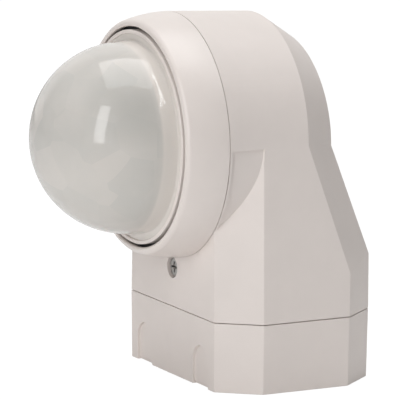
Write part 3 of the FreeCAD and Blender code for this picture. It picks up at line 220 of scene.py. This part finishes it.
# ---- materials ----------------------------------------------------------------------------------
class Look:
    """A Principled material built up from patterns, with sizes in millimetres on the object."""

    def __init__(self, name, colour, roughness, **sockets):
        self.material = bpy.data.materials.new(name)
        self.material.use_nodes = True
        self.tree = self.material.node_tree
        self.shader = self.tree.nodes["Principled BSDF"]
        self.shader.inputs["Base Color"].default_value = (*colour, 1)
        self.shader.inputs["Roughness"].default_value = roughness
        for socket, value in sockets.items():
            self.shader.inputs[socket.replace("_", " ")].default_value = value
        self.place = self.tree.nodes.new("ShaderNodeTexCoord").outputs["Object"]
        self.normal = None

    def stretched(self, stretch, turn=(0, 0, 0), shift=(0, 0, 0)):
        mapping = self.tree.nodes.new("ShaderNodeMapping")
        mapping.inputs["Location"].default_value = shift
        mapping.inputs["Scale"].default_value = stretch
        mapping.inputs["Rotation"].default_value = [math.radians(a) for a in turn]
        self.tree.links.new(self.place, mapping.inputs["Vector"])
        return mapping.outputs["Vector"]

    def pattern(self, kind, size, output="Fac", place=None, **sockets):
        """A texture whose features are about size millimetres wide."""
        texture = self.tree.nodes.new("ShaderNodeTex" + kind)
        texture.inputs["Scale"].default_value = 1.0 / (size * MM)
        for socket, value in sockets.items():
            texture.inputs[socket.replace("_", " ")].default_value = value
        self.tree.links.new(place or self.place, texture.inputs["Vector"])
        return texture.outputs[output]

    def wobbled(self, amount, size):
        """Object coordinates shifted here and there, which softens the borders of a cell pattern."""
        shift = self.tree.nodes.new("ShaderNodeVectorMath")
        shift.operation = "SCALE"
        shift.inputs["Scale"].default_value = amount * MM
        moved = self.tree.nodes.new("ShaderNodeVectorMath")
        self.tree.links.new(self.pattern("Noise", size, output="Color"), shift.inputs[0])
        self.tree.links.new(shift.outputs["Vector"], moved.inputs[0])
        self.tree.links.new(self.place, moved.inputs[1])
        return moved.outputs["Vector"]

    def ramp(self, value, stops):
        ramp = self.tree.nodes.new("ShaderNodeValToRGB")
        while len(ramp.color_ramp.elements) < len(stops):
            ramp.color_ramp.elements.new(0.5)
        for element, (position, colour) in zip(ramp.color_ramp.elements, stops):
            element.position = position
            element.color = (*colour, 1)
        self.tree.links.new(value, ramp.inputs["Fac"])
        return ramp.outputs["Color"]

    def level(self, value, low, high, start=0.0, end=1.0):
        """The value's span from start to end, stretched to run from low to high."""
        span = self.tree.nodes.new("ShaderNodeMapRange")
        span.inputs["From Min"].default_value = start
        span.inputs["From Max"].default_value = end
        span.inputs["To Min"].default_value = low
        span.inputs["To Max"].default_value = high
        self.tree.links.new(value, span.inputs["Value"])
        return span.outputs["Result"]

    def mixed(self, share, first, second):
        mix = self.tree.nodes.new("ShaderNodeMixRGB")
        self.tree.links.new(share, mix.inputs["Fac"])
        self.tree.links.new(first, mix.inputs["Color1"])
        mix.inputs["Color2"].default_value = (*second, 1)
        return mix.outputs["Color"]

    def length(self, vector):
        node = self.tree.nodes.new("ShaderNodeVectorMath")
        node.operation = "LENGTH"
        self.tree.links.new(vector, node.inputs[0])
        return node.outputs["Value"]

    def feed(self, value, socket):
        self.tree.links.new(value, self.shader.inputs[socket])

    def mottle(self, dark, light, size, start=0.35, end=0.65):
        tone = self.pattern("Noise", size, Detail=4.0)
        self.feed(self.ramp(tone, [(start, dark), (end, light)]), "Base Color")

    def uneven(self, low, high, size):
        self.feed(self.level(self.pattern("Noise", size, Detail=5.0), low, high, 0.3, 0.7), "Roughness")

    def relief(self, value, depth):
        """Bump of the given depth in millimetres, laid over any bump that is already there."""
        bump = self.tree.nodes.new("ShaderNodeBump")
        bump.inputs["Distance"].default_value = depth * MM
        self.tree.links.new(value, bump.inputs["Height"])
        if self.normal:
            self.tree.links.new(self.normal, bump.inputs["Normal"])
        self.normal = bump.outputs["Normal"]
        self.feed(self.normal, "Normal")

    def grain(self, size, depth):
        self.relief(self.pattern("Noise", size, Detail=3.0), depth)


def shade(colour, factor):
    return tuple(min(1.0, c * factor) for c in colour)


def moulded(name, colour, roughness=0.42, grain=0.22, depth=0.006, spread=0.02, **sockets):
    """Injection-moulded plastic: eroded-tool grain, slight colour streaks, handling sheen."""
    look = Look(name, colour, roughness, **sockets)
    look.mottle(shade(colour, 1 - spread / 2), shade(colour, 1 + spread / 2), 9.0)
    look.uneven(roughness - 0.05, roughness + 0.05, 4.0)
    look.grain(3.5, depth * 1.5)
    look.grain(grain, depth)
    return look.material


HOUSING = (0.78, 0.716, 0.68)
TRIM = (0.78, 0.716, 0.68)
LENS = (0.665, 0.635, 0.60)
LENS_DIM = (0.60, 0.585, 0.555)
LENS_RIM = (0.735, 0.695, 0.655)
# painted shade on the lens: the colour and centre of a darker area at one side
LENS_PAINTED_SHADE = (0.46, 0.455, 0.43)
LENS_PAINTED_SHADE_AT = (24.0 * MM, -52.0 * MM, 90.0 * MM)
LENS_PAINTED_SHADE_STRETCH = (1, 1, 1.3)
LENS_PAINTED_SHADE_SHARE = 0.62
LENS_PAINTED_SHADE_REACH = (3 * MM, 18 * MM)         # where the painted shade on the lens starts to fade, and where it ends
SKIRT_EDGE_Y = (-45.7 * MM, -44.8 * MM)     # the tint turns to the skirt's between these
RIM_EDGE_R = (LENS_R - 0.2 * MM, LENS_R + 0.3 * MM)
FACET_TINT_SHARE = 0.55                     # share of cloud in the mix of facets and cloud


def lens_look():
    """Milky polyethylene: light soaks through the thin wall, whose tint wanders from place to place,
    with painted shade at one side.
    """
    look = Look("lens", LENS, 0.12, IOR=1.45, Specular_IOR_Level=0.35)
    look.shader.inputs["Subsurface Weight"].default_value = 0.6
    look.shader.inputs["Subsurface Radius"].default_value = (1.0, 0.97, 0.93)
    look.shader.inputs["Subsurface Scale"].default_value = 0.9 * MM
    facets = look.pattern("Voronoi", 11.0, output="Color", place=look.wobbled(0.25, 7.0), Randomness=0.6)
    cloud = look.pattern("Noise", 13.0, Detail=3.0)
    mixed = look.tree.nodes.new("ShaderNodeMixRGB")
    mixed.inputs["Fac"].default_value = FACET_TINT_SHARE
    look.tree.links.new(facets, mixed.inputs["Color1"])
    look.tree.links.new(cloud, mixed.inputs["Color2"])
    tone = look.tree.nodes.new("ShaderNodeRGBToBW")
    look.tree.links.new(mixed.outputs["Color"], tone.inputs["Color"])
    wall = look.ramp(tone.outputs["Val"], [(0.3, LENS_DIM), (0.7, LENS)])
    # painted shade: a darker area at one side of the lens wall, mixed into its colour
    middle = [-c * k for c, k in zip(LENS_PAINTED_SHADE_AT, LENS_PAINTED_SHADE_STRETCH)]
    away = look.length(look.stretched(LENS_PAINTED_SHADE_STRETCH, shift=middle))
    wall = look.mixed(look.level(away, LENS_PAINTED_SHADE_SHARE, 0.0, *LENS_PAINTED_SHADE_REACH), wall, LENS_PAINTED_SHADE)
    # the plain skirt behind the dome
    depth = look.tree.nodes.new("ShaderNodeSeparateXYZ")
    look.tree.links.new(look.stretched((1, 1, 1)), depth.inputs[0])
    wall = look.mixed(look.level(depth.outputs["Y"], 0.0, 1.0, *SKIRT_EDGE_Y), wall, LENS_RIM)
    # the rim, which is thicker than the wall
    reach = look.length(look.stretched((1, 0, 1), shift=(0, 0, -AXIS_Z)))
    wall = look.mixed(look.level(reach, 0.0, 1.0, *RIM_EDGE_R), wall, LENS_RIM)
    look.feed(wall, "Base Color")
    look.uneven(0.03, 0.055, 6.0)
    look.grain(7.0, 0.012)
    return look.material


def rubber(name, colour, roughness):
    look = Look(name, colour, roughness, Specular_IOR_Level=0.35)
    look.mottle(shade(colour, 0.85), shade(colour, 1.25), 2.5)
    look.uneven(roughness - 0.08, roughness + 0.08, 1.5)
    look.grain(0.12, 0.01)
    return look.material


def plated(name, dark, light, roughness):
    """Plated metal: a tone that wanders a little, and fine turning marks along Y and Z."""
    look = Look(name, light, roughness, Metallic=1.0)
    look.mottle(dark, light, 1.2)
    look.uneven(roughness - 0.08, roughness + 0.1, 0.8)
    look.relief(look.pattern("Noise", 0.5, place=look.stretched((6, 1, 1)), Detail=2.0), 0.006)
    look.grain(0.08, 0.003)
    return look.material


TINNED = (0.62, 0.6, 0.56)


def circuit_board(name, turn):
    """Solder mask over copper tracks, on glass cloth, with tinned pads. turn brings the board to XY."""
    look = Look(name, (0.02, 0.16, 0.07), 0.3, Coat_Weight=0.3, Coat_Roughness=0.2)
    flat = look.stretched((1, 1, 1), turn)
    tracks = look.pattern("Brick", 5.0, place=flat, Mortar_Size=0.03, Brick_Width=0.9, Row_Height=0.28)
    pads = look.pattern("Voronoi", 2.6, output="Distance", place=flat, Randomness=0.35)
    weave = look.pattern("Wave", 0.5, place=look.stretched((1, 1, 1), (turn[0], turn[1], turn[2] + 45)))
    green = look.ramp(tracks, [(0.0, (0.012, 0.12, 0.05)), (1.0, (0.03, 0.26, 0.11))])
    pad = look.ramp(pads, [(0.17, (1, 1, 1)), (0.2, (0, 0, 0))])
    look.feed(look.mixed(pad, green, TINNED), "Base Color")
    look.feed(look.level(pad, 0.0, 0.9), "Metallic")
    look.uneven(0.22, 0.36, 3.0)
    look.relief(tracks, 0.03)
    look.relief(weave, 0.006)
    return look.material


def glossy_case(name, colour, roughness=0.2):
    look = Look(name, colour, roughness)
    look.mottle(shade(colour, 0.85), shade(colour, 1.1), 3.0)
    look.uneven(roughness - 0.06, roughness + 0.1, 2.0)
    look.grain(0.15, 0.004)
    return look.material


def varistor_look():
    look = Look("varistor_coat", (0.08, 0.15, 0.45), 0.22, Coat_Weight=0.4)
    look.mottle((0.06, 0.12, 0.38), (0.10, 0.18, 0.5), 2.0)
    look.grain(0.9, 0.05)
    return look.material


def winding_look():
    """Enamelled copper wire, turn beside turn, with painted shade in the grooves between turns."""
    look = Look("copper_coil", (0.6, 0.26, 0.12), 0.3, Metallic=0.9, Coat_Weight=0.5)
    turns = look.pattern("Wave", 0.55, Distortion=0.4, Detail=1.0)
    # painted shade: the colour darkens where the wave is low, in the grooves between turns
    look.feed(look.ramp(turns, [(0.0, (0.25, 0.09, 0.04)), (0.5, (0.66, 0.30, 0.14))]), "Base Color")
    look.relief(turns, 0.12)
    return look.material


def sheath_look():
    look = Look("cable_sheath", (0.12, 0.12, 0.12), 0.5)
    ridges = look.pattern("Wave", 1.3, Detail=0.0)
    look.mottle((0.10, 0.10, 0.10), (0.15, 0.15, 0.15), 2.0)
    look.relief(ridges, 0.05)
    look.grain(0.1, 0.005)
    return look.material


def filter_look():
    """Coated silicon: dark, mirror-smooth, with a faint purple bloom."""
    look = Look("filter_glass", (0.06, 0.05, 0.05), 0.06, Coat_Weight=0.6, Coat_Roughness=0.05)
    look.mottle((0.05, 0.04, 0.06), (0.09, 0.06, 0.08), 1.5)
    look.uneven(0.04, 0.09, 1.0)
    return look.material


def led_look():
    look = Look("led_plastic", (0.7, 0.08, 0.05), 0.12, Transmission_Weight=0.35, IOR=1.5)
    look.mottle((0.62, 0.06, 0.04), (0.76, 0.1, 0.06), 1.5)
    look.grain(0.8, 0.01)
    return look.material


def make_looks():
    return {
        "housing": moulded("housing", HOUSING, 0.44),
        "trim": moulded("trim", TRIM, 0.33, depth=0.004),
        "lens": lens_look(),
        "inner_plastic": moulded("inner_plastic", (0.6, 0.6, 0.58), 0.5),
        "sensor_plastic": moulded("sensor_plastic", (0.05, 0.05, 0.055), 0.5, spread=0.2),
        "terminal_plastic": moulded("terminal_plastic", (0.32, 0.33, 0.34), 0.4, spread=0.1),
        "dial_plastic": moulded("dial_plastic", (0.1, 0.28, 0.55), 0.35, spread=0.1),
        "rubber": rubber("rubber", (0.05, 0.05, 0.05), 0.7),
        "grommet_rubber": rubber("grommet_rubber", (0.35, 0.35, 0.34), 0.65),
        "steel": plated("steel", (0.30, 0.29, 0.28), (0.46, 0.45, 0.43), 0.32),
        "brass": plated("brass", (0.60, 0.43, 0.18), (0.76, 0.59, 0.29), 0.28),
        "relay_case": glossy_case("relay_case", (0.02, 0.02, 0.025)),
        "film_case": glossy_case("film_case", (0.75, 0.55, 0.08), 0.25),
        "can_sleeve": glossy_case("can_sleeve", (0.03, 0.03, 0.05), 0.18),
        "varistor_coat": varistor_look(),
        "copper_coil": winding_look(),
        "connector_plastic": moulded("connector_plastic", (0.82, 0.8, 0.74), 0.38),
        "cable_sheath": sheath_look(),
        "sensor_can": plated("sensor_can", (0.62, 0.60, 0.56), (0.76, 0.74, 0.70), 0.2),
        "filter_glass": filter_look(),
        "led_plastic": led_look(),
    }


BOARD_TURNS = {"main_board": (90, 0, 0), "sensor_board": (90, 0, 0), "settings_board": (0, 0, 0)}


def paint(obj, material):
    obj.data.materials.clear()
    obj.data.materials.append(material)


def paint_nodes(looks):
    slots = {part["node"]: part["material_slot"] for part in frame["record"]["subparts"]}
    for node, obj in NODES.items():
        if node in BOARD_TURNS:
            paint(obj, circuit_board(node + "_mask", BOARD_TURNS[node]))
        else:
            paint(obj, looks[slots[node]])


# ---- softened copies of the moulded shells ------------------------------------------------------
SHELL_ROUND = 0.45 * MM
BASE_ROUND = 0.3 * MM
ROUND_STEPS = 3
SHARP = math.radians(14)        # edges sharper than this are rounded
FLAT = math.radians(0.3)        # edges flatter than this are dissolved
WELD = 0.001 * MM
DRUM_FRONT_Y = -27.0 * MM
DRUM_BACK_Y = 0.4 * MM
DRUM_R = 38.0 * MM
DRUM_BACK_R = 36.7 * MM
DRUM_SKIN = 0.3 * MM


def add_piece(name, bm, material, body, node):
    """Make a piece of the mesh, painted, riding on a body, in place of one CAD node."""
    mesh = bpy.data.meshes.new(name)
    bm.to_mesh(mesh)
    bm.free()
    piece = bpy.data.objects.new(name, mesh)
    bpy.context.scene.collection.objects.link(piece)
    paint(piece, material)
    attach(piece, body)
    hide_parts(node)
    return piece


def apply_modifiers(piece):
    bpy.context.view_layer.update()
    depsgraph = bpy.context.evaluated_depsgraph_get()
    final = bpy.data.meshes.new_from_object(piece.evaluated_get(depsgraph))
    piece.modifiers.clear()
    piece.data = final
    final.name = piece.name


BASE_RIM_Z = 21.35 * MM         # top of the base, at the joint line
RIM_LIFT = 0.22 * MM
PANEL_Y = -26.3 * MM            # the break-out panels' outer faces
PANEL_TOP = 14.0 * MM
PANEL_SINK = 0.4 * MM
NEAR = 0.02 * MM


def straighten_drum(bm):
    """Lift the drum's outer skin so that its top runs straight from the seam to the rear bevel."""
    for vert in bm.verts:
        along = (vert.co.y - DRUM_FRONT_Y) / (DRUM_BACK_Y - DRUM_FRONT_Y)
        height = vert.co.z - AXIS_Z
        radius = math.hypot(vert.co.x, height)
        if height > 0 and 0 < along < 1 and radius > DRUM_BACK_R - DRUM_SKIN:
            straight = DRUM_R + (DRUM_BACK_R - DRUM_R) * along
            vert.co.z = AXIS_Z + height * straight / radius


def refine_base(bm):
    """Narrow the joint line above the base, and set the break-out panels a little deeper."""
    for vert in bm.verts:
        if abs(vert.co.z - BASE_RIM_Z) < NEAR:
            vert.co.z += RIM_LIFT
        if abs(vert.co.y - PANEL_Y) < NEAR and vert.co.z < PANEL_TOP:
            vert.co.y += PANEL_SINK


def softened(node, name, width, looks, reshape):
    """A copy of a CAD shell, reshaped a little and with rounded edges, in place of the node."""
    bm = bmesh.new()
    bm.from_mesh(NODES[node].data)
    bmesh.ops.remove_doubles(bm, verts=bm.verts, dist=WELD)
    reshape(bm)
    bmesh.ops.dissolve_limit(bm, angle_limit=FLAT, verts=bm.verts, edges=bm.edges)
    for face in bm.faces:
        face.smooth = True
    piece = add_piece(name, bm, looks["housing"], "housing", node)
    bevel = piece.modifiers.new("round", "BEVEL")
    bevel.width = width
    bevel.segments = ROUND_STEPS
    bevel.limit_method = "ANGLE"
    bevel.angle_limit = SHARP
    bevel.miter_outer = "MITER_ARC"
    normals = piece.modifiers.new("normals", "WEIGHTED_NORMAL")
    normals.keep_sharp = True
    normals.weight = 80
    apply_modifiers(piece)


# ---- ball lens ----------------------------------------------------------------------------------
LENS_COLUMNS = 180              # steps round the lens axis
LENS_ROWS = 60                  # steps from the tip to the skirt
RIM_FRONT_Y = -40.2 * MM
RIM_BACK_Y = -38.8 * MM
RIM_R = 32.3 * MM
FILLET = 0.5 * MM               # where the skirt meets the rim
FILLET_STEPS = (0, 30, 60, 90)
CREASE = math.radians(35)       # edges sharper than this are shaded sharp
FACET_EDGES = (0, 12, 33, 54, 75, 90)       # degrees from the lens axis
FACET_COUNTS = (1, 6, 12, 18, 20)           # facets in the band that ends at each edge
FACET_BULGE = 0.35 * MM


def facet_bulge(polar, turn):
    """How far the lens wall bulges inwards, at an angle from the axis and one round it, in degrees."""
    for low, high, count in zip(FACET_EDGES, FACET_EDGES[1:], FACET_COUNTS):
        if polar <= high:
            across = 2 * (polar - low) / (high - low) - 1 if count > 1 else polar / high
            along = 2 * ((turn * count / 360) % 1.0) - 1 if count > 1 else 0.0
            return FACET_BULGE * (1 - across ** 2) * (1 - along ** 2)
    return 0.0


def on_sphere(radius, polar):
    """Radius from the axis and y of a point on a sphere, at an angle in degrees from the lens axis."""
    return radius * math.sin(math.radians(polar)), LENS_CENTRE_Y - radius * math.cos(math.radians(polar))


def lens_section(turn):
    """The lens wall's closed outline at one angle round the axis: (radius, y) from the outer tip on."""
    steps = [90.0 * row / LENS_ROWS for row in range(1, LENS_ROWS + 1)]
    points = [on_sphere(LENS_R, a) for a in steps]
    for degrees in FILLET_STEPS:
        c, s = math.cos(math.radians(degrees)), math.sin(math.radians(degrees))
        points.append((LENS_R + FILLET * (1 - c), RIM_FRONT_Y - FILLET * (1 - s)))
    points += [(RIM_R - FILLET, RIM_FRONT_Y), (RIM_R, RIM_FRONT_Y + FILLET), (RIM_R, RIM_BACK_Y)]
    points += [(LENS_R - LENS_WALL, RIM_BACK_Y)]
    points += [on_sphere(LENS_R - LENS_WALL - facet_bulge(a, turn), a) for a in reversed(steps)]
    return points


def ball_lens(looks):
    bm = bmesh.new()
    rings = []
    for column in range(LENS_COLUMNS):
        turn = 360.0 * column / LENS_COLUMNS
        c, s = math.cos(math.radians(turn)), math.sin(math.radians(turn))
        rings.append([bm.verts.new((r * c, y, AXIS_Z + r * s)) for r, y in lens_section(turn)])
    outer_tip = bm.verts.new((0, LENS_CENTRE_Y - LENS_R, AXIS_Z))
    inner_tip = bm.verts.new((0, LENS_CENTRE_Y - LENS_R + LENS_WALL + FACET_BULGE, AXIS_Z))
    for ring, following in zip(rings, rings[1:] + rings[:1]):
        bm.faces.new((outer_tip, following[0], ring[0]))
        bm.faces.new((inner_tip, ring[-1], following[-1]))
        for i in range(len(ring) - 1):
            bm.faces.new((ring[i], following[i], following[i + 1], ring[i + 1]))
    bmesh.ops.recalc_face_normals(bm, faces=bm.faces)
    for face in bm.faces:
        face.smooth = True
    for edge in bm.edges:
        if len(edge.link_faces) == 2 and edge.calc_face_angle() > CREASE:
            edge.smooth = False
    add_piece("ball_lens", bm, looks["lens"], "lens_unit", "lens_dome")


add_camera()
add_world()
add_lights()
add_floor()
bpy.context.scene.view_settings.view_transform = "Standard"
looks = make_looks()
paint_nodes(looks)
softened("body_shell", "body_housing", SHELL_ROUND, looks, straighten_drum)
softened("base_box", "wall_base", BASE_ROUND, looks, refine_base)
ball_lens(looks)
